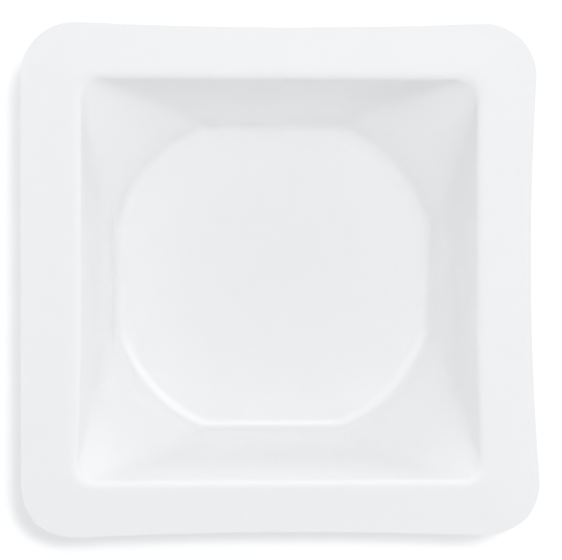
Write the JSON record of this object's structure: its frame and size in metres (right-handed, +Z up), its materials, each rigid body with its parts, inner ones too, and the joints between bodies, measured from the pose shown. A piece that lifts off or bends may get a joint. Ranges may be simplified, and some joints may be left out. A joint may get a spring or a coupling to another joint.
{
  "type": "weighing boat",
  "caption": "Shallow white plastic weighing boat: a round-cornered well with a flat floor, sloping walls and a wide flat flange, for weighing out powders and liquids.",
  "frame": {"origin": "middle of the floor's underside, on the surface that the boat stands on", "axes": "+Z up through the mouth, +X to the flange's right edge, which has drawn in the most, +Y to its back edge"},
  "size_m": [0.0896, 0.0886, 0.025],
  "materials": {
    "polystyrene": "white antistatic polystyrene sheet, satin, with a faint sheen on its rounded edges"
  },
  "bodies": {
    "root": {"weighing_boat": "polystyrene"}
  },
  "joints": []
}
